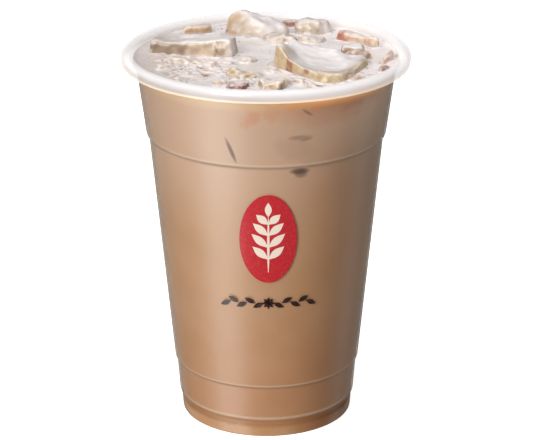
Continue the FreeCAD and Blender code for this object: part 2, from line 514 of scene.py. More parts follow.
@dataclass(frozen=True)
class PlasticFinish:
    """Clear moulded plastic: a faint haze on the wall, milky white where it is rolled, with painted
    shade and a painted glow on the lip and painted shade on the foot's right.
    """

    haze: float = 0.06
    edge_haze: float = 0.86
    lip_cover: float = 0.56
    foot_cover: float = 0.95
    lip_rough: float = 0.25
    # strength of the painted glow that the rolled lip gives off
    lip_glow: float = 0.38
    hem_height: float = 122.35
    foot_height: float = 3.5

    def build(self) -> bpy.types.Material:
        """Makes the material."""
        board = Board("ClearPlastic")
        across, _, height = board.axes()
        hem, foot = self.hem_height, self.foot_height
        lip = board.rise(height, hem - 0.05, hem + 0.1)
        crown = board.rise(height, hem + 1.2, hem + 3.4)
        under = board.rise(height, hem + 1.0, hem + 0.1)
        base = board.rise(height, foot + 2.4, foot - 0.9)
        tinted = board.rise(height, foot + 3.6, foot + 2.0)
        edge = board.facing(0.62, 0.97)
        cloud = board.lumps(9.0, 3.0)
        wall = board.plus(self.haze, board.times(edge, self.edge_haze))
        cover = board.mix(lip, wall, self.lip_cover)
        # Painted shade on the lip: its face is a darker grey than its crown, as if shaded below the
        # light from above, and it is darker to the left. Painted highlight: the hem's lower edge is a
        # bright cream.
        side = board.rise(across, -40, 40)
        face = board.mix(side, "#948c89", "#bcb4b1")
        face = board.mix(crown, face, board.mix(side, "#c8c6c7", "#cfcdce"))
        face = board.mix(under, face, "#f6e2cc")
        clear = board.mix(cloud, "#cfc6bc", "#c2b8ae")
        clear = board.mix(edge, clear, "#a98f78")
        tint = board.mix(cloud, "#ca9b72", "#c29268")
        # Painted shade: the foot turns darker brown towards the right, away from the light.
        tint = board.mix(board.rise(across, 2, 24), tint, "#9c6236")
        rough = board.plus(0.22, board.times(cloud, 0.10))
        board.set(
            Base_Color=board.mix(tinted, board.mix(lip, clear, face), tint),
            Roughness=board.mix(lip, rough, self.lip_rough),
            Alpha=board.mix(base, cover, self.foot_cover),
            IOR=1.49,
            # Painted glow: the rolled lip gives off a little white light and its hem a little cream
            # light, as if lit through the plastic.
            Emission_Color=board.mix(under, "#f8f6f6", "#fff0dc"),
            Emission_Strength=board.times(
                lip, board.plus(self.lip_glow, board.times(under, 0.04))
            ),
        )
        return board.material


@dataclass(frozen=True)
class DrinkFinish:
    """Opaque milk coffee seen through the wall, paler at the top and warmer below."""

    low: str = "#b67e4e"
    middle: str = "#bb8c61"
    high: str = "#c8a58a"
    band_left: str = "#f2d3a4"
    band_right: str = "#f0ae64"
    shadow: str = "#aa6c30"
    # the colour of the painted light high on the right
    painted_light: str = "#e4bc9a"
    glow: str = "#ffbf84"
    glow_strength: float = 0.4
    band_height: float = 122.4
    sharp_below: float = 2.0
    marks: tuple[Smudge, ...] = ()
    steps: tuple[Plan, ...] = ()

    def mark_share(self, board: Board, mark: Smudge, x: Socket, y: Socket, z: Socket) -> Socket:
        """How much of one smudge shows at a place on the front.

        Args:
            board: the material in the making.
            mark: the smudge.
            x: the place's X.
            y: the place's Y.
            z: the place's Z.

        Returns:
            A share from 0 to the smudge's strength.
        """
        cos, sin = math.cos(math.radians(mark.slant)), math.sin(math.radians(mark.slant))
        dx = board.minus(x, mark.across * MM)
        dz = board.minus(z, mark.height * MM)
        along = board.plus(board.times(dx, cos), board.times(dz, sin))
        over = board.minus(board.times(dz, cos), board.times(dx, sin))
        a = board.math("DIVIDE", along, mark.long * MM)
        b = board.math("DIVIDE", over, mark.wide * MM)
        reach = board.plus(board.times(a, a), board.times(b, b))
        share = board.times(board.step(reach, 1.0, 0.05), board.rise(y, 0, -10))
        return board.times(share, mark.strength)

    def ring(self, board: Board, z: Socket, height: float, half: float) -> Socket:
        """A soft level ring round the drink: 1 at its height and 0 half a width away."""
        gap = board.math("ABSOLUTE", board.minus(z, height * MM))
        return board.rise(gap, half, 0.1 * half)

    def ground(self, board: Board, x: Socket, z: Socket, cloud: Socket) -> Socket:
        """The drink's colour, warmer low down, with painted shade to the lower right and painted light
        high on the right.

        Args:
            board: the material in the making.
            x: the place's X.
            z: the place's Z.
            cloud: a faint unevenness.

        Returns:
            The colour.
        """
        colour = board.mix(board.rise(z, 8, 60), self.low, self.middle)
        colour = board.mix(board.rise(z, 60, 108), colour, self.high)
        colour = board.mix(cloud, colour, "#cfa684")
        # Painted shade: towards the right, below the neck, the colour turns to the shadow colour, more
        # so near the bottom.
        right = board.times(board.rise(x, 2, 26), board.rise(z, 112, 88))
        depth = board.plus(board.times(board.rise(z, 50, 8), 0.36), 0.46)
        colour = board.mix(board.times(right, depth), colour, self.shadow)
        # Painted light: high on the right the colour is lightened.
        upper = board.times(board.rise(x, 14, 34), board.rise(z, 98, 118))
        return board.mix(upper, colour, self.painted_light)

    def build(self) -> bpy.types.Material:
        """Makes the material."""
        board = Board("MilkCoffee")
        x, y, z = board.axes()
        cloud = board.times(board.lumps(16.0, 2.0, 0.3, 0.7), 0.18)
        colour = self.ground(board, x, z, cloud)
        for start, rise in self.steps:
            glint = self.ring(board, z, start + 0.95 * rise, 0.35 + 0.45 * rise)
            colour = board.mix(board.times(glint, 0.42), colour, "#f6e0c8")
            shade = self.ring(board, z, start - 0.1, 0.6)
            colour = board.mix(board.times(shade, 0.16), colour, "#7a4c2c")
        across, up = (
            board.plus(axis, board.times(board.minus(board.lumps(pitch, 2.0, 0.0, 1.0), 0.5), far * MM))
            for axis, pitch, far in ((x, 6.0, 5.0), (z, 5.2, 4.4))
        )
        for mark in self.marks:
            place = (across, y, up) if mark.wide > self.sharp_below else (x, y, z)
            colour = board.mix(self.mark_share(board, mark, *place), colour, mark.colour)
        # A gold band just under the lip, more orange to the right. Painted glow: the band's front right
        # part gives off orange light.
        top = self.band_height
        gold = board.mix(board.rise(x, -16, 18), self.band_left, self.band_right)
        glow = board.times(board.rise(z, top - 4.6, top - 0.2), board.rise(x, 0, 20))
        glow = board.times(glow, board.rise(y, 5, -15))
        board.set(
            Base_Color=board.mix(board.rise(z, top - 5.5, top - 0.6), colour, gold),
            Roughness=board.plus(0.42, board.times(cloud, 0.4)),
            IOR=1.45,
            Emission_Color=self.glow,
            Emission_Strength=board.times(glow, self.glow_strength),
            Coat_Weight=1.0,
            Coat_Roughness=0.46,
        )
        return board.material


@dataclass(frozen=True)
class MilkTopFinish:
    """Pale foam and milk, with painted grey shade, tan seams and a painted glow on its right side."""

    milk: str = "#f8f4f8"
    # the colour of the painted shade
    painted_shade: str = "#d6c8c2"
    # the tan of the seams and of the painted shade beside the ridges and in the dips
    seam_and_shade: str = "#967660"
    painted_glow: float = 0.11

    def build(self) -> bpy.types.Material:
        """Makes the material."""
        board = Board("MilkTop")
        across, _, _ = board.axes()
        # Tan seams, with painted shade beside the ridges and in the dips of the lace.
        seam_and_shade = board.attribute("seam_and_shade")
        milk = board.mix(board.lumps(7.0, 3.0), self.milk, "#eee4e1")
        # Painted shade: the milk turns grey where the relief stored shade.
        milk = board.mix(board.attribute("painted_shade"), milk, self.painted_shade)
        # Painted glow: the milk on the right side gives off a little light, except on the seams.
        painted_light = board.times(board.rise(across, 4, 34), board.minus(1.0, seam_and_shade))
        board.set(
            Base_Color=board.mix(seam_and_shade, milk, self.seam_and_shade),
            Roughness=0.24,
            IOR=1.38,
            Emission_Color="#fdf6f4",
            Emission_Strength=board.times(painted_light, self.painted_glow),
            Coat_Weight=0.35,
            Coat_Roughness=0.08,
            Subsurface_Weight=0.25,
            Subsurface_Radius=(1.0, 0.75, 0.6),
            Subsurface_Scale=1.2 * MM,
        )
        board.bump(board.lumps(0.9, 3.0, 0.2, 0.8), 0.06)
        return board.material


@dataclass(frozen=True)
class IceFinish:
    """Wet ice with a film of milk on top, tea-coloured sides and a painted highlight on its edges."""

    name: str
    side: str
    deep: str
    milk: str = "#f3eeef"
    stain: str = "#8a5c44"
    # the colour of the painted highlight on edges that stand out
    edge: str = "#fdf6ee"

    def build(self) -> bpy.types.Material:
        """Makes the material."""
        board = Board(self.name)
        side = board.mix(board.lumps(3.2, 4.0, 0.3, 0.7), self.side, self.deep)
        side = board.mix(board.attribute("deep"), side, self.deep)
        milk = board.mix(board.lumps(4.0, 3.0), self.milk, "#ebe5e5")
        colour = board.mix(board.attribute("film"), side, milk)
        colour = board.mix(board.attribute("stain"), colour, self.stain)
        board.set(
            Base_Color=board.mix(board.attribute("edge"), colour, self.edge),
            Roughness=0.30,
            IOR=1.33,
            Coat_Weight=0.4,
            Coat_Roughness=0.08,
            Subsurface_Weight=0.35,
            Subsurface_Radius=(1.0, 0.8, 0.6),
            Subsurface_Scale=2.0 * MM,
        )
        board.bump(board.lumps(1.6, 3.0, 0.2, 0.8), 0.06)
        return board.material


@dataclass(frozen=True)
class BubbleFinish:
    """A thin clear skin that shows most at its rim."""

    middle: str = "#e4dcd8"
    rim: str = "#b5a294"

    def build(self) -> bpy.types.Material:
        """Makes the material."""
        board = Board("FoamBubble")
        ring = board.facing(0.45, 0.95)
        board.set(
            Base_Color=board.mix(ring, self.middle, self.rim),
            Roughness=0.06,
            IOR=1.33,
            Alpha=board.plus(0.2, board.times(ring, 0.45)),
        )
        return board.material


@dataclass(frozen=True)
class InkFinish:
    """Printed ink with a slight sheen."""

    name: str
    colour: str

    def build(self) -> bpy.types.Material:
        """Makes the material."""
        board = Board(self.name)
        worn = board.times(board.lumps(0.8, 4.0, 0.45, 0.75), 0.06)
        board.set(
            Base_Color=board.mix(worn, self.colour, "#d8b8a0"),
            Roughness=board.plus(0.3, worn),
            IOR=1.45,
        )
        return board.material


# ---------------------------------------------------------------- the cup and the drink


@dataclass
class CupWall:
    """The clear cup: a stepped, tapering wall with a lifted floor and a rolled lip."""

    height: float
    base_radius: float = 28.7
    foot_width: float = 2.6
    floor_lift: float = 1.4
    floor_sheet: float = 0.9
    wall_sheet: float = 0.7
    drafts: tuple[float, ...] = (4.0, 4.5, 5.5, 7.5)
    low_step: tuple[float, float, float] = (5.4, 1.3, 0.6)
    mid_step: tuple[float, float, float] = (18.2, 0.8, 0.6)
    shoulder: tuple[float, float, float] = (28.4, 1.1, 0.9)
    neck_drop: float = 4.9
    flare: tuple[float, float] = (1.6, 1.55)
    lip_roll: float = 2.0
    lip_drop: float = 3.9
    hem_tuck: float = 0.3
    bend_round: float = 0.55
    rounds: int = 224

    def bends(self) -> list[Plan]:
        """(radius, height) of each outer bend of the wall, from the foot up."""
        radius, height = self.base_radius, 0.0
        found = [(radius, height)]
        shoulder_height = self.height - self.shoulder[0]
        steps = (
            (self.low_step[0], self.low_step),
            (self.mid_step[0], self.mid_step),
            (shoulder_height, self.shoulder),
        )
        for (start, (_, rise, out)), draft in zip(steps, self.drafts):
            radius += (start - height) * math.tan(math.radians(draft))
            found.append((radius, start))
            radius, height = radius + out, start + rise
            found.append((radius, height))
        neck = self.height - self.neck_drop
        radius += (neck - height) * math.tan(math.radians(self.drafts[-1]))
        found.append((radius, neck))
        found.append((radius + self.flare[1], neck + self.flare[0]))
        return found

    def outer_radius(self, height: float) -> float:
        """The wall's outer radius at a height, both in millimetres."""
        radii, heights = zip(*self.bends())
        return float(np.interp(height, heights, radii))

    def inner_bends(self) -> list[Plan]:
        """(radius, height) of each inner bend of the wall, from the floor up."""
        floor = self.floor_lift + self.floor_sheet
        first = (self.outer_radius(floor) - self.wall_sheet, floor)
        return [first] + [(r - self.wall_sheet, z) for r, z in self.bends()[1:]]

    def surface_radius(self) -> float:
        """The radius of the drink's surface."""
        return self.inner_bends()[-1][0]

    def half_round(self, middle: float, radius: float, count: int) -> list[Plan]:
        """Points on the upper half of a circle about the lip's roll, from the inside out."""
        height = self.height - self.lip_roll
        ways = np.linspace(0.0, math.pi, count)
        return [(middle - radius * math.cos(a), height + radius * math.sin(a)) for a in ways]

    def lip(self) -> tuple[list[Plan], list[Plan]]:
        """The lip's section: its inner and outer half rounds, from the wall to the hem."""
        middle = self.surface_radius() + self.lip_roll
        rim = middle + self.lip_roll
        hem = self.height - self.lip_drop
        under = self.half_round(middle, self.lip_roll - self.wall_sheet, 15)
        under.append((rim - self.hem_tuck - self.wall_sheet, hem))
        over = self.half_round(middle, self.lip_roll, 25)[::-1]
        return under, [(rim - self.hem_tuck, hem)] + over

    def section(self) -> list[Plan]:
        """The closed outline of the wall's section."""
        ring = self.base_radius - self.foot_width
        under, over = self.lip()
        foot = [(0.01, self.floor_lift), (ring, self.floor_lift), (ring, 0.0)]
        outside = round_corners(foot + self.bends() + under[:1], self.bend_round, False)
        inside = [(self.surface_radius(), self.height - self.lip_roll)]
        inside += self.inner_bends()[::-1] + [(0.01, self.inner_bends()[0][1])]
        return outside[:-1] + under + over[:-1] + round_corners(inside, self.bend_round, False)

    def build(self) -> None:
        """Models and dresses the cup."""
        piece = new_line("cup_shell", self.section(), True)
        spin_line(piece, self.rounds)
        shade_smooth(piece, 60.0)
        hand_over(piece, Slot.PLASTIC, PlasticFinish().build(), "cup")


@dataclass
class Drink:
    """The milk coffee in the cup up to its surface, reaching just into the wall."""

    cup: CupWall
    level: float
    into_wall: float = 0.15
    under_top: float = 0.9
    rounds: int = 192

    def marks(self) -> tuple[Smudge, ...]:
        """What shows through the wall: dark slivers, an orange patch and faint streaks."""
        return (
            Smudge(2.0, 117.6, 12.0, 4.4, -4.0, "#d39870", 0.22),
            Smudge(-5.4, 115.6, 3.8, 4.6, -35.0, "#cc8058", 0.52),
            Smudge(1.8, 117.2, 4.0, 3.2, 10.0, "#cc7a44", 0.26),
            Smudge(22.0, 121.0, 20.0, 3.2, 4.0, "#e0863a", 1.0),
            Smudge(22.0, 118.0, 20.0, 7.0, 6.0, "#c4805e", 0.45),
            Smudge(29.0, 119.4, 11.0, 4.0, 8.0, "#c8784a", 0.5),
            Smudge(9.0, 104.5, 9.0, 5.0, -25.0, "#b08a74", 0.35),
            Smudge(-11.2, 104.2, 5.6, 0.85, -68.0, "#6c4030", 0.95),
            Smudge(12.9, 117.2, 2.6, 0.65, -38.0, "#8a5638", 0.75),
            Smudge(10.6, 108.7, 4.8, 1.0, 0.0, "#846658", 0.55),
            Smudge(12.6, 107.9, 2.6, 0.7, 10.0, "#6d5044", 0.45),
            Smudge(10.6, 96.7, 3.8, 1.35, 0.0, "#4a2c24", 0.9),
            Smudge(11.0, 95.8, 2.6, 1.8, 0.0, "#4a2c24", 0.6),
        )

    def build(self) -> None:
        """Models and dresses the drink's body."""
        inner = [(r + self.into_wall, z) for r, z in self.cup.inner_bends()]
        top = self.level - self.under_top
        inner = [(r, min(z, top)) for r, z in inner]
        bottom = inner[0][1] - self.into_wall
        outline = [(0.01, bottom), (inner[0][0], bottom)] + inner[1:] + [(0.01, top)]
        piece = new_line("drink_body", round_corners(outline, 0.4, False), False)
        spin_line(piece, self.rounds)
        shade_smooth(piece, 60.0)
        shoulder = self.cup.height - self.cup.shoulder[0]
        steps = (self.cup.low_step[:2], self.cup.mid_step[:2], (shoulder, self.cup.shoulder[1]))
        finish = DrinkFinish(marks=self.marks(), steps=steps)
        hand_over(piece, Slot.DRINK, finish.build(), "milk_coffee")


# ---------------------------------------------------------------- the ice


@dataclass(frozen=True)
class Spot:
    """A round area on the drink's top: its middle and its radius."""

    x: float
    y: float
    radius: float

    def share(self, points: np.ndarray) -> np.ndarray:
        """How far each point lies inside: 1 at the middle and 0 outside."""
        gap = np.hypot(points[:, 0] - self.x, points[:, 1] - self.y)
        return smooth_step(1.0 - gap / self.radius, 0.0, 0.6)


def covered(points: np.ndarray, spots: Iterable[Spot]) -> np.ndarray:
    """How far each point lies inside the spot that covers it most."""
    return np.max([np.zeros(len(points)), *(spot.share(points) for spot in spots)], axis=0)


@dataclass(frozen=True)
class IceLook:
    """How one piece of ice is worn and tinted."""

    node: str
    side: str
    deep: str
    dish: float
    wear: float
    film_low: float = 0.5
    film_high: float = 0.85
    cover: float = 1.0
    rounds: int = 5
    stains: tuple[Spot, ...] = ()
    # spots where milk film is laid as painted light, on sides that would lie in shade
    painted_light_spots: tuple[Spot, ...] = ()
    bare: tuple[Spot, ...] = ()
    lifts: tuple[tuple[Spot, float], ...] = ()
    stain: str = "#8a5c44"
    torn: float = 0.15


@dataclass
class Ice:
    """The pieces of ice that break the surface, each worn from its node's own block."""

    level: float
    grain: float = 0.5
    looks: tuple[IceLook, ...] = (
        IceLook(
            "ice_slab_left", "#c6b39c", "#9a8571", 0.7, 0.38,
            stains=(Spot(-37.5, 3.5, 14.0), Spot(-16.4, 0.8, 0.8)), stain="#7d6a55",
            painted_light_spots=(Spot(-9.5, 1.5, 5.0),), lifts=((Spot(-24.0, 7.0, 36.0), 0.9),),
        ),
        IceLook(
            "ice_sliver_back", "#c8a988", "#b09070", 0.2, 0.45, cover=0.4, rounds=9,
            lifts=((Spot(-24.0, 29.6, 16.0), 0.4),),
        ),
        IceLook(
            "ice_hump", "#cfc2b4", "#c9b8a4", -0.6, 0.5, 0.5, 1.0, rounds=36,
            stains=(Spot(-14.0, 29.5, 9.0),), stain="#b08e66", painted_light_spots=(Spot(4.0, 25.0, 9.0),),
            lifts=((Spot(-13.5, 28.0, 9.0), -4.0),),
        ),
        IceLook("ice_wedge_back", "#cfb09e", "#a87c6a", 0.1, 0.4, cover=0.45),
        IceLook(
            "ice_mound_back", "#c4b5a5", "#b5a492", -0.4, 0.8, 0.4, 1.0, cover=0.8, rounds=22,
            painted_light_spots=(Spot(22.0, 28.0, 5.0),),
        ),
        IceLook(
            "ice_slab_back", "#dcc8b2", "#c8a48c", 0.3, 0.8, cover=0.7, rounds=8, torn=0.5,
            stains=(Spot(25.0, 21.2, 5.0),), stain="#a05a4c",
        ),
        IceLook(
            "ice_shard_right", "#dfc8b0", "#c49e86", 0.2, 0.45, cover=0.5, rounds=8,
            stains=(Spot(37.2, -12.0, 4.5),), stain="#6a4234",
        ),
        IceLook("ice_block_right", "#bc9e8a", "#a48672", 0.0, 0.35, 0.6, 0.95),
        IceLook(
            "ice_shell_right", "#c8b79c", "#b29a78", 2.6, 0.34, 0.5, 0.9, rounds=9,
            stains=(Spot(10.2, -22.6, 3.6), Spot(7.2, -16.0, 2.5)), stain="#8c4c2a",
            bare=(
                Spot(3.0, -14.0, 6.5), Spot(11.0, -20.0, 7.0), Spot(20.0, -24.0, 8.5),
                Spot(29.0, -19.0, 7.5), Spot(34.0, -11.0, 6.0),
            ),
            lifts=(
                (Spot(6.0, 5.0, 8.0), 0.9), (Spot(1.0, -8.5, 10.0), 2.8),
                (Spot(11.0, -19.0, 9.0), 0.8), (Spot(20.0, -23.0, 9.0), 1.3),
                (Spot(29.0, -17.0, 9.0), 1.2), (Spot(31.0, -1.0, 9.0), -1.0),
            ),
        ),
        IceLook("ice_chip_front", "#c9ad82", "#9c7c4c", 0.5, 1.8, cover=0.48, rounds=8, torn=0.6),
        IceLook(
            "ice_lump_front_left", "#b8948a", "#7e4c42", 1.0, 1.5, cover=0.6, rounds=9, torn=0.4,
            stains=(Spot(-11.4, -34.8, 3.6), Spot(-5.8, -34.2, 3.2)), stain="#6a2c22",
        ),
        IceLook(
            "ice_lump_front_right", "#ccb698", "#a0845e", 0.8, 1.4, cover=0.65, rounds=9, torn=0.5,
            stains=(Spot(4.6, -36.6, 1.8),), stain="#5c3c2c",
        ),
    )

    def block(self, look: IceLook) -> Piece:
        """A fine-grained copy of a node's block.

        Args:
            look: the piece's look, which names its node.

        Returns:
            The new piece, evenly meshed and softened.
        """
        source = bpy.data.objects[look.node]
        piece = source.copy()
        piece.data = source.data.copy()
        piece.name = look.node + "_worn"
        bpy.context.collection.objects.link(piece)
        for key in list(piece.keys()):
            del piece[key]
        piece.parent = None
        edit(piece, merge_and_face_out)
        apply_modifier(piece, "REMESH", mode="VOXEL", voxel_size=self.grain * MM)
        apply_modifier(piece, "SMOOTH", factor=0.5, iterations=look.rounds)
        return piece

    def wear(self, piece: Piece, look: IceLook, seed: float) -> None:
        """Melts a block: a dished top, softened sides and small hollows."""
        points = points_of(piece)
        normals = normals_of(piece)
        middle = points.mean(axis=0)
        span = np.ptp(points, axis=0) / 2
        reach = np.hypot(*((points - middle)[:, :2] / span[:2]).T)
        top = smooth_step(normals[:, 2], 0.5, 0.9)
        points[:, 2] -= look.dish * top * smooth_step(1.0 - reach, 0.0, 0.7)
        above = smooth_step(points[:, 2], self.level, self.level + 3.0)
        for spot, rise in look.lifts:
            points[:, 2] += rise * spot.share(points) * above
        large = noise_field(points, 5.5, seed)
        medium = noise_field(points, 2.8, seed + 3.0)
        small = noise_field(points, 1.3, seed + 6.0)
        lumps = look.wear * (large + 0.6 * medium + 0.18 * small)
        points += normals * np.clip(lumps, -1.2, 0.7)[:, None]
        move_points(piece, points)

    def tint(self, piece: Piece, look: IceLook, seed: float) -> None:
        """Stores milk film (partly painted light), deep parts, stains and a painted highlight on edges.
        """
        points = points_of(piece)
        normals = normals_of(piece)
        ragged = noise_field(points, 2.4, seed + 9.0)
        film = smooth_step(normals[:, 2] + look.torn * ragged, look.film_low, look.film_high)
        foam = smooth_step(points[:, 2], self.level + 0.5, self.level - 0.1)
        cover = np.maximum(look.cover * film, 0.6 * foam)
        # Painted light: milk film is laid on the spots that would otherwise lie in shade.
        cover = np.maximum(cover, 0.65 * covered(points, look.painted_light_spots))
        for spot in look.bare:
            cover *= 1.0 - 0.75 * spot.share(points)
        write_value(piece, "film", cover)
        write_value(piece, "deep", smooth_step(ragged, 0.1, 0.6))
        blurred = wander(points, (2.4, 2.4, seed + 12.0), (1.6, 2.0, seed + 15.0))
        stain = covered(blurred, look.stains) * (0.75 + 0.25 * ragged)
        write_value(piece, "stain", stain * (1.0 - 0.35 * film))
        # Painted highlight: points that stand out from their neighbours are lightened.
        write_value(piece, "edge", 0.42 * smooth_step(standing_out(piece), 0.025, 0.07))

    def build(self) -> None:
        """Models and dresses every piece of ice."""
        for index, look in enumerate(self.looks):
            piece = self.block(look)
            self.wear(piece, look, 1.0 + index)
            self.tint(piece, look, 1.0 + index)
            shade_smooth(piece, 80.0)
            finish = IceFinish(look.node + "_finish", look.side, look.deep, stain=look.stain)
            hand_over(piece, Slot.ICE, finish.build(), look.node)


# ---------------------------------------------------------------- the surface of the drink


@dataclass(frozen=True)
class Bit:
    """A small half-sunk piece of ice: its middle, half sizes, rise and turn."""

    x: float
    y: float
    long: float
    wide: float
    rise: float
    turn: float


@dataclass
class MilkTop:
    """The drink's surface: foam with soft ridges and hollows that climbs what it touches."""

    cup: CupWall
    level: float
    grain: float = 0.34
    depth: float = 1.4
    deepest: float = 0.72
    into_wall: float = 0.2
    sink: float = 0.4
    wave_rise: float = 0.30
    ripple_rise: float = 0.10
    grain_rise: float = 0.02
    wall_climb: float = 0.5
    ice_climb: float = 0.35
    ridge_rise: float = 0.55
    pit_depth: float = 0.35
    outlines: dict[str, np.ndarray] = field(default_factory=dict)
    ridges: tuple[tuple[Plan, ...], ...] = (
        ((-37.0, 1.0), (-33.3, 6.0), (-28.0, 3.0), (-21.5, -3.0), (-17.0, -6.0), (-11.0, -6.5)),
        ((-26.0, -12.0), (-21.0, -10.0), (-15.0, -12.5)),
        ((9.0, -20.0), (15.0, -31.5), (24.0, -31.0), (29.0, -24.0)),
        ((24.0, -20.5), (30.0, -22.5), (34.0, -19.5)),
    )
    lace: tuple[Spot, ...] = (
        Spot(-27.0, -5.0, 11.0),
        Spot(-17.0, -11.0, 10.0),
        Spot(-8.0, -27.0, 10.0),
        Spot(-26.0, -16.0, 9.0),
    )
    pits: tuple[Spot, ...] = (
        Spot(-19.4, -18.4, 1.7),
        Spot(-21.5, -11.5, 1.5),
        Spot(-27.5, -13.0, 1.2),
        Spot(-13.5, -21.5, 1.1),
    )

    def outline_of(self, node: str) -> np.ndarray:
        """The plan outline of a node where it passes the drink's surface.

        Args:
            node: the node's name.

        Returns:
            The corners in order, in millimetres.
        """
        mesh = bpy.data.objects[node].data
        points = np.array([v.co for v in mesh.vertices]) / MM
        near = points[points[:, 2] > self.level - 9.0][:, :2]
        order = sorted({(round(float(x), 3), round(float(y), 3)) for x, y in near})

        def half(items: Iterable[Plan]) -> list[Plan]:
            """One side of the hull."""
            chain: list[Plan] = []
            for p in items:
                while len(chain) > 1:
                    (ax, ay), (bx, by) = chain[-2:]
                    if (bx - ax) * (p[1] - ay) - (by - ay) * (p[0] - ax) > 0:
                        break
                    chain.pop()
                chain.append(p)
            return chain[:-1]

        return np.array(half(order) + half(reversed(order)))

    def distance(self, points: np.ndarray, line: np.ndarray, closed: bool) -> np.ndarray:
        """The distance from each plan point to a line."""
        ends = np.roll(line, -1, axis=0) if closed else line[1:]
        starts = line if closed else line[:-1]
        nearest = np.full(len(points), np.inf)
        for a, b in zip(starts, ends):
            way = b - a
            share = np.clip(((points - a) @ way) / max(way @ way, 1e-9), 0.0, 1.0)
            gap = np.linalg.norm(points - (a + share[:, None] * way), axis=1)
            nearest = np.minimum(nearest, gap)
        return nearest

    def sheet(self) -> Piece:
        """A fine flat sheet cut to the cup's inner round."""
        radius = self.cup.surface_radius() + self.into_wall
        count = int(2 * radius / self.grain)
        clear_selection()
        bpy.ops.mesh.primitive_grid_add(
            x_subdivisions=count, y_subdivisions=count, size=2.04 * radius * MM
        )
        piece = bpy.context.object
        piece.name = "milk_top"
        points = points_of(piece)
        points[:, 2] = self.level
        reach = np.hypot(points[:, 0], points[:, 1])
        outside = reach > radius + 0.4 * self.grain
        edge = (reach > radius - 0.6 * self.grain) & ~outside
        points[edge, :2] *= (radius / reach[edge])[:, None]
        move_points(piece, points)
        activate(piece)
        bpy.ops.object.mode_set(mode="EDIT")
        bpy.ops.mesh.select_mode(type="VERT")
        bpy.ops.mesh.select_all(action="DESELECT")
        bpy.ops.object.mode_set(mode="OBJECT")
        piece.data.vertices.foreach_set("select", outside)
        bpy.ops.object.mode_set(mode="EDIT")
        bpy.ops.mesh.delete(type="VERT")
        bpy.ops.object.mode_set(mode="OBJECT")
        return piece

    def veins(self, points: np.ndarray) -> np.ndarray:
        """Thin branching lines of two sizes, from 0 to 1."""
        coarse, fine = (
            smooth_step(1.0 - sharp * np.abs(noise_field(points, pitch, seed)), 0.0, 0.9)
            for sharp, pitch, seed in ((4.0, 4.2, 8.0), (4.5, 2.6, 9.0))
        )
        return np.maximum(coarse, fine)

    def round_ice(self, points: np.ndarray) -> tuple[np.ndarray, np.ndarray]:
        """How far the foam climbs at the ice, and how strong a seam it leaves there."""
        climb, seam_and_shade = np.zeros(len(points)), np.zeros(len(points))
        for node, outline in self.outlines.items():
            gap = self.distance(points[:, :2], outline, True)
            climb += self.ice_climb * np.exp(-gap / 0.6)
            ragged = smooth_step(noise_field(points, 2.2, len(node)), 0.0, 0.5)
            seam_and_shade = np.maximum(seam_and_shade, np.exp(-((gap - 0.6) ** 2) / 0.25) * ragged)
        return climb, seam_and_shade

    def along_ridges(self, points: np.ndarray) -> tuple[np.ndarray, np.ndarray]:
        """How far the bent ridges rise, and how strong a painted shade runs beside them."""
        drift = [noise_field(points, 6.0, seed) for seed in (11.0, 12.0)]
        bent = points[:, :2] + 2.6 * np.stack(drift, axis=1)
        swell = 0.45 + 0.55 * smooth_step(noise_field(points, 5.0, 13.0), -0.2, 0.3)
        rise, seam_and_shade = np.zeros(len(points)), np.zeros(len(points))
        for line in self.ridges:
            gap = self.distance(bent, np.array(line), False)
            rise += self.ridge_rise * swell * np.exp(-(gap**2) / 0.6)
            seam_and_shade = np.maximum(seam_and_shade, 0.4 * swell * np.exp(-((gap - 1.3) ** 2) / 0.35))
        return rise, seam_and_shade

    def relief(self, piece: Piece) -> None:
        """Raises and lowers the sheet, and stores its painted shade and where it is seamed."""
        points = points_of(piece)
        x, y = points[:, 0], points[:, 1]
        reach = np.hypot(x, y)
        waves = self.wave_rise * noise_field(points, 10.0, 4.0)
        waves += self.ripple_rise * noise_field(points, 4.4, 5.0)
        height = waves + self.grain_rise * noise_field(points, 1.2, 6.0) - self.sink
        height += self.wall_climb * np.exp((reach - self.cup.surface_radius()) / 1.3)
        lace, veins = covered(points, self.lace), self.veins(points)
        height += lace * (0.60 * veins - 0.16 + 0.07 * noise_field(points, 1.5, 10.0))
        climb, ice_seam = self.round_ice(points)
        rise, ridge_shade = self.along_ridges(points)
        pit = covered(wander(points, (1.1, 1.5, 14.0), (0.9, 1.8, 15.0)), self.pits)
        height += climb + rise - self.pit_depth * pit
        dips = lace * (1.0 - veins)
        # Painted shade: grey in the troughs of the waves, near the wall except on the right, towards
        # the left and in the dips of the lace.
        rim = smooth_step(reach, 36.0, 43.0) * (1.0 - 0.7 * smooth_step(x, 8.0, 28.0))
        left = smooth_step(-x, 22.0, 36.0) * smooth_step(12.0 - y, 0.0, 10.0)
        painted_shade = 0.4 * smooth_step(-waves, 0.02, 0.38) + np.maximum(0.5 * rim, 0.7 * left)
        # Tan seams at the ice and in the pits, with painted shade beside the ridges and in the dips of
        # the lace.
        seam_and_shade = 0.6 * np.max([ice_seam, ridge_shade, 0.6 * dips], axis=0)
        write_value(piece, "painted_shade", painted_shade + 0.5 * dips)
        write_value(piece, "seam_and_shade", np.maximum(seam_and_shade, pit))
        points[:, 2] += np.maximum(height, -self.deepest)
        move_points(piece, points)

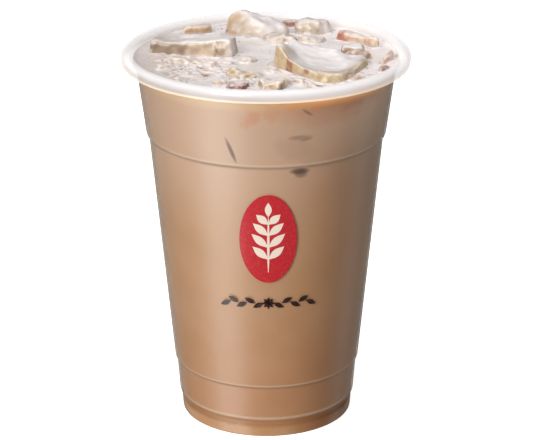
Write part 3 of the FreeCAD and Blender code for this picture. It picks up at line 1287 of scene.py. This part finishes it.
    def close_below(self, piece: Piece) -> None:
        """Gives the sheet a hem down into the drink and a floor, so that it is solid."""
        edit(
            piece,
            lambda: bpy.ops.mesh.select_all(action="DESELECT"),
            lambda: bpy.ops.mesh.select_mode(type="EDGE"),
            bpy.ops.mesh.select_non_manifold,
            bpy.ops.mesh.extrude_edges_move,
            lambda: bpy.ops.transform.translate(value=(0.0, 0.0, -self.depth * MM)),
            bpy.ops.mesh.edge_face_add,
            lambda: bpy.ops.mesh.select_all(action="SELECT"),
            lambda: bpy.ops.mesh.normals_make_consistent(inside=False),
        )

    def build(self, nodes: Iterable[str]) -> None:
        """Models and dresses the surface.

        Args:
            nodes: the pieces of ice that it climbs.
        """
        self.outlines = {node: self.outline_of(node) for node in nodes}
        piece = self.sheet()
        self.relief(piece)
        self.close_below(piece)
        shade_smooth(piece, 80.0)
        hand_over(piece, Slot.DRINK, MilkTopFinish().build(), "milk_coffee")


@dataclass
class SmallIce:
    """Small pieces of ice that only just break the surface."""

    level: float
    bits: tuple[Bit, ...] = (
        Bit(4.6, 21.4, 6.6, 4.2, 2.0, -22.0),
        Bit(15.1, 19.9, 5.0, 2.8, 1.4, -8.0),
        Bit(-6.1, -3.4, 3.2, 2.6, 1.0, 10.0),
        Bit(15.6, -34.6, 2.8, 1.9, 0.9, 0.0),
        Bit(-27.2, -27.2, 2.6, 1.8, 0.9, -25.0),
        Bit(28.6, -23.6, 3.8, 1.8, 1.0, 12.0),
        Bit(29.8, 0.4, 4.8, 2.2, 2.4, -5.0),
        Bit(38.2, -13.2, 3.6, 1.3, 1.0, 62.0),
        Bit(-28.5, -3.6, 5.5, 2.4, 1.0, -20.0),
        Bit(-20.5, -7.6, 5.0, 2.2, 1.0, -12.0),
        Bit(-33.5, -11.0, 3.6, 2.4, 0.8, 30.0),
        Bit(-14.5, -29.0, 3.0, 2.0, 0.9, 0.0),
        Bit(10.0, -27.5, 3.4, 1.8, 0.8, -20.0),
        Bit(2.0, -15.5, 3.2, 2.4, 0.8, 20.0),
    )
    seed: int = 11
    strewn_within: float = 41.0
    roundness: float = 0.85
    body: float = 0.9
    wear: float = 0.3
    large: float = 2.5
    stains: tuple[tuple[Spot, float], ...] = (
        (Spot(38.0, -14.0, 3.4), 0.8),
        (Spot(-19.2, -18.2, 1.2), 0.9),
        (Spot(-11.6, -34.7, 2.4), 0.8),
        (Spot(16.4, -34.2, 1.4), 0.8),
        (Spot(27.0, -23.5, 4.0), 0.5),
        (Spot(30.2, -1.0, 6.0), 0.6),
        (Spot(4.0, 22.0, 7.0), 0.3),
    )
    crumbs: tuple[tuple[float, float, float, float, int], ...] = (
        (-27.0, -6.0, 10.0, 4.0, 8),
        (-18.0, -13.0, 9.0, 5.0, 8),
        (-10.0, -31.0, 13.0, 4.0, 8),
        (16.0, -33.0, 6.0, 3.0, 3),
    )

    def all_bits(self) -> list[Bit]:
        """The named bits and the crumbs strewn round them."""
        chance = random.Random(self.seed)
        found = list(self.bits)
        for x, y, wide, deep, count in self.crumbs:
            for _ in range(count):
                px = x + wide * chance.uniform(-1, 1)
                py = y + deep * chance.uniform(-1, 1)
                if math.hypot(px, py) < self.strewn_within:
                    long = 0.7 + 1.7 * chance.random() ** 2
                    wide_half = long * chance.uniform(0.45, 0.9)
                    rise = chance.uniform(0.0, 0.5)
                    found.append(Bit(px, py, long, wide_half, rise, chance.uniform(0, 180)))
        return found

    def build(self) -> None:
        """Models, joins and dresses the small pieces."""
        made: list[Piece] = []
        for index, bit in enumerate(self.all_bits()):
            clear_selection()
            detail = 4 if bit.long > 2.0 else 3
            bpy.ops.mesh.primitive_ico_sphere_add(subdivisions=detail, radius=MM)
            piece = bpy.context.object
            points = points_of(piece)
            points = np.sign(points) * np.abs(points) ** self.roundness
            points *= np.array((bit.long, bit.wide, bit.rise + self.body))
            along, over = turned(points[:, 0], points[:, 1], bit.turn)
            sunk = self.level - (1.15 if bit.long < self.large else self.body)
            spun = np.stack([along + bit.x, over + bit.y, points[:, 2] + sunk], axis=1)
            lumps = noise_field(spun, 2.2, 20.0 + index)
            spun += normals_of(piece) * (self.wear * min(bit.long, 3.0) * lumps)[:, None]
            move_points(piece, spun)
            made.append(piece)
        joined = join_pieces("small_ice", made)
        points = points_of(joined)
        normals = normals_of(joined)
        ragged = noise_field(points, 1.6, 31.0)
        film = smooth_step(normals[:, 2] + 0.5 * ragged, 0.55, 1.1)
        foam = smooth_step(points[:, 2], self.level + 0.5, self.level - 0.2)
        write_value(joined, "film", np.maximum(film, 0.8 * foam))
        write_value(joined, "deep", smooth_step(ragged, 0.1, 0.5))
        stain = np.zeros(len(points))
        for spot, strength in self.stains:
            stain = np.maximum(stain, strength * spot.share(points))
        write_value(joined, "stain", stain)
        # Painted highlight: points that stand out from their neighbours are lightened.
        write_value(joined, "edge", 0.3 * smooth_step(standing_out(joined), 0.02, 0.06))
        shade_smooth(joined, 80.0)
        finish = IceFinish("SmallIce", "#c6b29c", "#a48a70", milk="#e2dad8")
        hand_over(joined, Slot.ICE, finish.build())


@dataclass
class Bubbles:
    """Foam bubbles: half round domes gathered where the foam is thick."""

    level: float
    seed: int = 7
    strewn_within: float = 42.0
    least: float = 0.16
    spread: float = 0.5
    squash: float = 0.8
    sunk: float = 0.15
    patches: tuple[tuple[float, float, float, float, int], ...] = (
        (-24.0, -9.0, 11.0, 7.0, 26),
        (-12.0, -22.0, 14.0, 9.0, 26),
        (4.0, -30.0, 15.0, 6.0, 30),
        (-8.0, 2.0, 6.0, 8.0, 18),
        (2.0, 10.0, 10.0, 6.0, 14),
        (30.0, -16.0, 5.0, 9.0, 16),
        (25.0, 12.0, 12.0, 5.0, 14),
        (-30.0, 22.0, 8.0, 6.0, 10),
        (0.0, 0.0, 38.0, 38.0, 40),
    )

    def height_at(self, top: Piece, places: Sequence[Plan]) -> list[float]:
        """The surface's height under each place.

        Args:
            top: the drink's surface.
            places: plan points in millimetres.

        Returns:
            Heights in millimetres.
        """
        found = []
        for x, y in places:
            hit, point, _, _ = top.ray_cast(Vector((x * MM, y * MM, 1.0)), Vector((0, 0, -1)))
            found.append(point.z / MM if hit else self.level)
        return found

    def build(self, top: Piece) -> None:
        """Models, joins and dresses the bubbles on the drink's surface."""
        chance = random.Random(self.seed)
        places: list[tuple[float, float, float]] = []
        for x, y, wide, deep, count in self.patches:
            for _ in range(count):
                reach = chance.random() ** 0.5
                way = chance.uniform(0, 2 * math.pi)
                px, py = x + wide * reach * math.cos(way), y + deep * reach * math.sin(way)
                if math.hypot(px, py) < self.strewn_within:
                    size = self.least + self.spread * chance.random() ** 3.0
                    places.append((px, py, size))
        clear_selection()
        bpy.ops.mesh.primitive_uv_sphere_add(segments=14, ring_count=8, radius=MM)
        dome = bpy.context.object
        unit = points_of(dome)
        faces = [tuple(f.vertices) for f in dome.data.polygons]
        bpy.data.objects.remove(dome)
        heights = self.height_at(top, [(x, y) for x, y, _ in places])
        points, polygons = [], []
        for (x, y, size), z in zip(places, heights):
            start = len(points) * len(unit)
            shape = size * np.array((1, 1, self.squash))
            points.append(unit * shape + np.array((x, y, z - self.sunk * size)))
            polygons += [tuple(start + i for i in face) for face in faces]
        piece = new_piece("foam_bubbles", np.concatenate(points), [], polygons)
        shade_smooth(piece, 80.0)
        hand_over(piece, Slot.DRINK, BubbleFinish().build())


# ---------------------------------------------------------------- the print


@dataclass
class Print:
    """A plain printed ornament on the front: a red oval with a sprig over a brown garland."""

    cup: CupWall
    centre_x: float = 0.6
    oval_height: float = 73.5
    oval_half: Plan = (9.4, 15.6)
    leaf_rows: tuple[Plan, ...] = ((-7.2, 3.4), (-3.0, 3.6), (1.2, 3.3), (5.2, 2.6))
    leaf_lean: float = 48.0
    leaf_gap: float = 1.02
    garland_height: float = 50.5
    fronds: int = 5
    frond_start: float = 3.3
    frond_pitch: float = 2.75
    frond_rise: float = 0.8
    frond_tilt: float = 28.0
    proud: float = 0.05
    rings: int = 7

    def wrap(self, piece: Piece, layer: int) -> None:
        """Bends a flat shape, drawn in X and Z, round the wall.

        Args:
            piece: the flat shape.
            layer: how many layers of ink lie under it.
        """
        points = points_of(piece)
        radius = np.array([self.cup.outer_radius(z) for z in points[:, 2]])
        angle = points[:, 0] / radius
        radius = radius + self.proud * (1 + layer)
        wrapped = np.stack([radius * np.sin(angle), -radius * np.cos(angle), points[:, 2]], 1)
        move_points(piece, wrapped)

    def blot(self, x: float, z: float, half: Plan, turn: float, point: float) -> Piece:
        """A flat filled shape between a disc and a leaf, meshed in rings.

        Args:
            x: its middle across.
            z: its middle's height.
            half: its half length and half width.
            turn: its turn in degrees.
            point: 0 for an oval and 1 for a leaf with sharp ends.

        Returns:
            The flat piece, in the XZ plane.
        """
        clear_selection()
        bpy.ops.mesh.primitive_circle_add(vertices=48, radius=MM, fill_type="NGON")
        piece = bpy.context.object
        edit(piece, *[lambda: bpy.ops.mesh.inset(thickness=0.12 * MM)] * self.rings)
        flat = points_of(piece)
        narrow = 1.0 - point * flat[:, 0] ** 2 * 0.85
        across, up = turned(flat[:, 0] * half[0], flat[:, 1] * narrow * half[1], turn)
        move_points(piece, np.stack([x + across, np.zeros(len(flat)), z + up], axis=1))
        return piece

    def ink(self, name: str, colour: str, pieces: Sequence[Piece], layer: int) -> None:
        """Joins the flat shapes of one ink, bends them round the wall and dresses them.

        Args:
            name: the ink's name, from which the piece and its finish take theirs.
            colour: the ink's colour.
            pieces: its flat shapes.
            layer: how many layers of ink lie under it.
        """
        joined = join_pieces(f"print_{name}", pieces)
        self.wrap(joined, layer)
        if normals_of(joined)[:, 1].mean() > 0:
            edit(joined, bpy.ops.mesh.flip_normals)
        hand_over(joined, Slot.PLASTIC, InkFinish(f"{name.title()}Ink", colour).build())

    def sprig(self) -> list[Piece]:
        """The sprig's stem, its leaves in pairs and its tip."""
        x, z = self.centre_x, self.oval_height
        made = [self.blot(x, z - 2.0, (10.0, 0.4), 90.0, 0.3)]
        for rise, long in self.leaf_rows:
            for side in (-1, 1):
                turn = 90.0 - side * self.leaf_lean
                out = long * self.leaf_gap
                cx = x + math.cos(math.radians(turn)) * out
                cz = z + rise + math.sin(math.radians(turn)) * out
                made.append(self.blot(cx, cz, (long, 1.3), turn, 1.0))
        made.append(self.blot(x, z + 10.4, (2.6, 1.1), 90.0, 1.0))
        return made

    def garland(self) -> list[Piece]:
        """The garland's fronds to both sides and the star in its middle."""
        x, z = self.centre_x, self.garland_height
        made = []
        for step in range(self.fronds):
            up = 1 if step % 2 else -1
            for side in (-1, 1):
                middle = x + side * (self.frond_start + self.frond_pitch * step)
                tilt = side * up * self.frond_tilt
                made.append(self.blot(middle, z + up * self.frond_rise, (2.0, 0.85), tilt, 1.0))
        made += [self.blot(x, z, (2.2, 0.8), turn, 1.0) for turn in (0.0, 45.0, 90.0, 135.0)]
        return made

    def build(self) -> None:
        """Models and dresses the three inks."""
        oval = self.blot(self.centre_x, self.oval_height, self.oval_half, 0.0, 0.0)
        self.ink("red", "#c0222e", [oval], 0)
        self.ink("cream", "#f2e2d4", self.sprig(), 1)
        self.ink("brown", "#2c120b", self.garland(), 0)


# ---------------------------------------------------------------- stage


@dataclass(frozen=True)
class Lamp:
    """A soft lamp aimed at the cup.

    Its way is its azimuth from the camera's side and its elevation, in degrees. How far it is and
    its width and height are in metres, and its power in watts.
    """

    name: str
    way: Plan
    far: float
    size: Plan
    power: float
    colour: tuple[float, float, float]
    unseen: str = ""

    def build(self, target: Vector) -> None:
        """Adds the lamp, pointing at a target."""
        turn, lift = (math.radians(a) for a in self.way)
        data = bpy.data.lights.new(self.name, "AREA")
        data.shape = "RECTANGLE"
        data.size, data.size_y = self.size
        data.energy = self.power
        data.color = self.colour
        lamp = bpy.data.objects.new(self.name, data)
        lamp.location = target + self.far * Vector(
            (math.sin(turn) * math.cos(lift), -math.cos(turn) * math.cos(lift), math.sin(lift))
        )
        lamp.rotation_euler = (target - lamp.location).to_track_quat("-Z", "Y").to_euler()
        bpy.context.collection.objects.link(lamp)
        if self.unseen:
            setattr(lamp, self.unseen, False)


@dataclass
class Studio:
    """A plain white floor, soft light from the left and above, and the camera."""

    focal: float = 155.3
    distance: float = 799.0
    elevation: float = 20.67
    aim_height: float = 62.0
    pan: float = 0.2212
    tilt: float = 0.310
    lamps: tuple[Lamp, ...] = (
        Lamp("key", (-31.0, 22.0), 1.1, (0.55, 0.75), 11.5, (1.0, 0.99, 0.97)),
        Lamp("strip", (-49.0, -28.0), 1.1, (0.65, 1.0), 6.6, (0.96, 1.0, 1.02), "visible_diffuse"),
        Lamp("top", (0.0, 80.0), 0.9, (0.6, 0.6), 3.4, (0.96, 0.97, 1.0)),
        Lamp("rim", (112.0, -24.0), 1.1, (0.20, 0.95), 0.6, (1.0, 0.94, 0.87), "visible_diffuse"),
        Lamp("back", (178.0, -12.0), 1.2, (0.9, 0.9), 7.0, (1.0, 0.97, 0.93), "visible_glossy"),
    )

    def floor(self) -> None:
        """A wide white floor that only the camera sees."""
        clear_selection()
        bpy.ops.mesh.primitive_plane_add(size=6.0, location=(0, 0, 0))
        floor = bpy.context.object
        floor.name = "studio_floor"
        board = Board("StudioFloor")
        board.set(
            Base_Color=(0.9, 0.9, 0.9, 1),
            Roughness=0.9,
            Emission_Color=(1, 1, 1, 1),
            Emission_Strength=0.75,
            Specular_IOR_Level=0.0,
        )
        floor.data.materials.append(board.material)
        floor.visible_diffuse = False
        floor.visible_glossy = False
        floor.visible_shadow = False

    def world(self) -> None:
        """A dim even glow that the camera sees as white."""
        world = bpy.data.worlds.new("Studio")
        bpy.context.scene.world = world
        world.use_nodes = True
        nodes, links = world.node_tree.nodes, world.node_tree.links
        glow = nodes["Background"]
        glow.inputs["Color"].default_value = (1.0, 0.93, 0.85, 1)
        glow.inputs["Strength"].default_value = 0.28
        white = nodes.new("ShaderNodeBackground")
        white.inputs["Color"].default_value = (1, 1, 1, 1)
        path = nodes.new("ShaderNodeLightPath")
        blend = nodes.new("ShaderNodeMixShader")
        links.new(path.outputs["Is Camera Ray"], blend.inputs[0])
        links.new(glow.outputs[0], blend.inputs[1])
        links.new(white.outputs[0], blend.inputs[2])
        links.new(blend.outputs[0], nodes["World Output"].inputs["Surface"])

    def camera(self) -> None:
        """A long lens that looks a little down at the cup."""
        data = bpy.data.cameras.new("Camera")
        data.lens = self.focal
        data.sensor_width = 36.0
        data.clip_start, data.clip_end = 0.05, 50.0
        camera = bpy.data.objects.new("Camera", data)
        lift = math.radians(self.elevation)
        aim = Vector((0.0, 0.0, self.aim_height * MM))
        camera.location = aim + self.distance * MM * Vector((0, -math.cos(lift), math.sin(lift)))
        camera.rotation_euler = (
            math.radians(90 - self.elevation + self.tilt),
            0.0,
            -math.radians(self.pan),
        )
        bpy.context.collection.objects.link(camera)
        bpy.context.scene.camera = camera

    def build(self) -> None:
        """Sets up the floor, the light and the camera."""
        bpy.context.scene.view_settings.view_transform = "Standard"
        self.floor()
        self.world()
        for lamp in self.lamps:
            lamp.build(Vector((0.0, 0.0, self.aim_height * MM)))
        self.camera()


def main() -> None:
    """Loads the frame and builds the whole model on it."""
    logging.basicConfig(level=logging.INFO, format="%(name)s: %(message)s")
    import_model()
    cup_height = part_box("cup")[1].z / MM
    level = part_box("milk_coffee")[1].z / MM
    cup = CupWall(height=cup_height)
    cup.build()
    Drink(cup, level).build()
    ice = Ice(level)
    ice.build()
    top = MilkTop(cup, level)
    top.build([look.node for look in ice.looks])
    SmallIce(level).build()
    Bubbles(level).build(bpy.data.objects["milk_top"])
    Print(cup).build()
    Studio().build()


if __name__ == "__main__":
    main()
